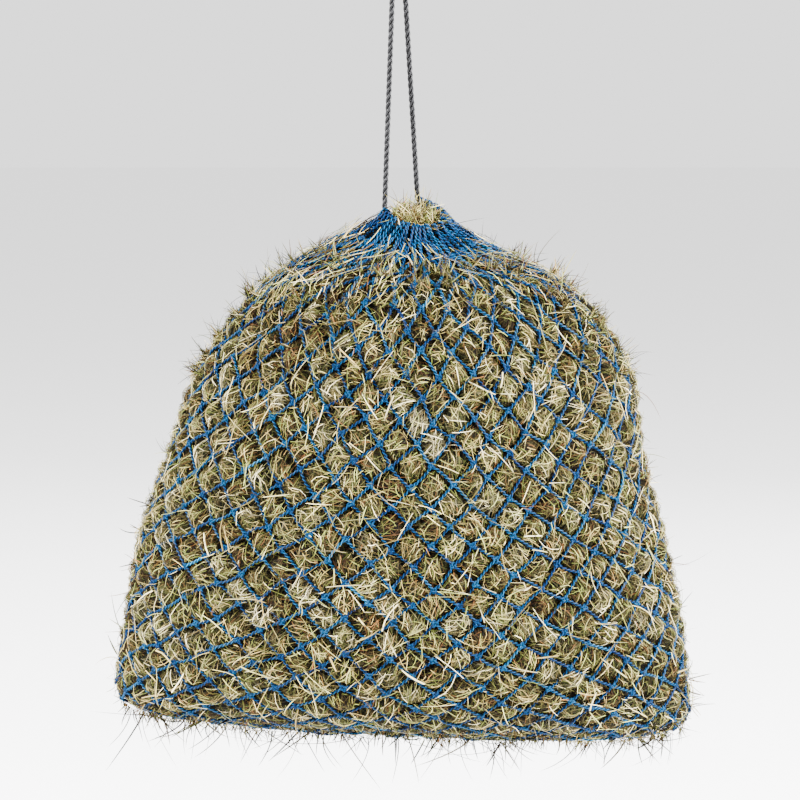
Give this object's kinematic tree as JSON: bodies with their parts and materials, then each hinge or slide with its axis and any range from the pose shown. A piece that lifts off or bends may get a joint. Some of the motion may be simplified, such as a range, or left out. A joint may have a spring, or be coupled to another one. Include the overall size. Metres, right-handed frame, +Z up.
{
  "type": "hay net",
  "caption": "Knotted diamond-mesh hay net stuffed with hay, drawn shut by a rope whose two legs hang from a knotted loop.",
  "frame": {"origin": "the point inside the top of the hanging loop where a hook or tie ring bears", "axes": "+Z up along the plumb line, front of the bag towards -Y, +X to the right seen from the front"},
  "size_m": [0.7518, 0.4491, 1.1161],
  "materials": {
    "draw_rope_black": "satin",
    "net_twine_blue": "satin",
    "hay": "matte"
  },
  "bodies": {
    "hanger": {"hang_loop": "draw_rope_black"},
    "knot": {"hang_knot": "draw_rope_black"},
    "rope_legs": {"rope_leg_left": "draw_rope_black", "rope_leg_right": "draw_rope_black"},
    "net": {"draw_rope": "draw_rope_black", "net_course_01": "net_twine_blue", "net_course_02": "net_twine_blue", "net_course_03": "net_twine_blue", "net_course_04": "net_twine_blue", "net_course_05": "net_twine_blue", "net_course_06": "net_twine_blue", "net_course_07": "net_twine_blue", "net_course_08": "net_twine_blue", "net_course_09": "net_twine_blue", "net_course_10": "net_twine_blue", "net_course_11": "net_twine_blue", "net_course_12": "net_twine_blue", "net_course_13": "net_twine_blue", "net_course_14": "net_twine_blue", "net_course_15": "net_twine_blue", "net_course_16": "net_twine_blue", "net_course_17": "net_twine_blue", "net_course_18": "net_twine_blue", "net_course_19": "net_twine_blue", "net_course_20": "net_twine_blue", "net_course_21": "net_twine_blue", "net_course_22": "net_twine_blue", "net_course_23": "net_twine_blue", "net_course_24": "net_twine_blue", "net_course_25": "net_twine_blue", "net_course_26": "net_twine_blue", "net_course_27": "net_twine_blue", "net_course_28": "net_twine_blue", "net_course_29": "net_twine_blue", "net_course_30": "net_twine_blue", "net_base": "net_twine_blue", "hay_tuft": "hay", "hay_flake_1": "hay", "hay_flake_2": "hay", "hay_flake_3": "hay", "hay_flake_4": "hay", "hay_flake_5": "hay", "hay_flake_6": "hay"}
  },
  "joints": [
    {"name": "rope_spin", "type": "hinge", "parent": "hanger", "child": "knot", "pos_m": [0, 0, -0.065], "axis": [0, 0, 1], "range_deg": [-180, 180]},
    {"name": "side_swing", "type": "hinge", "parent": "knot", "child": "rope_legs", "pos_m": [0, 0, -0.065], "axis": [0, 1, 0], "range_deg": [-35, 35]},
    {"name": "net_tilt", "type": "hinge", "parent": "rope_legs", "child": "net", "pos_m": [0.00399, 0.00278, -0.41385], "axis": [0.8422, 0.4928, 0.2186], "range_deg": [-15, 15]}
  ]
}
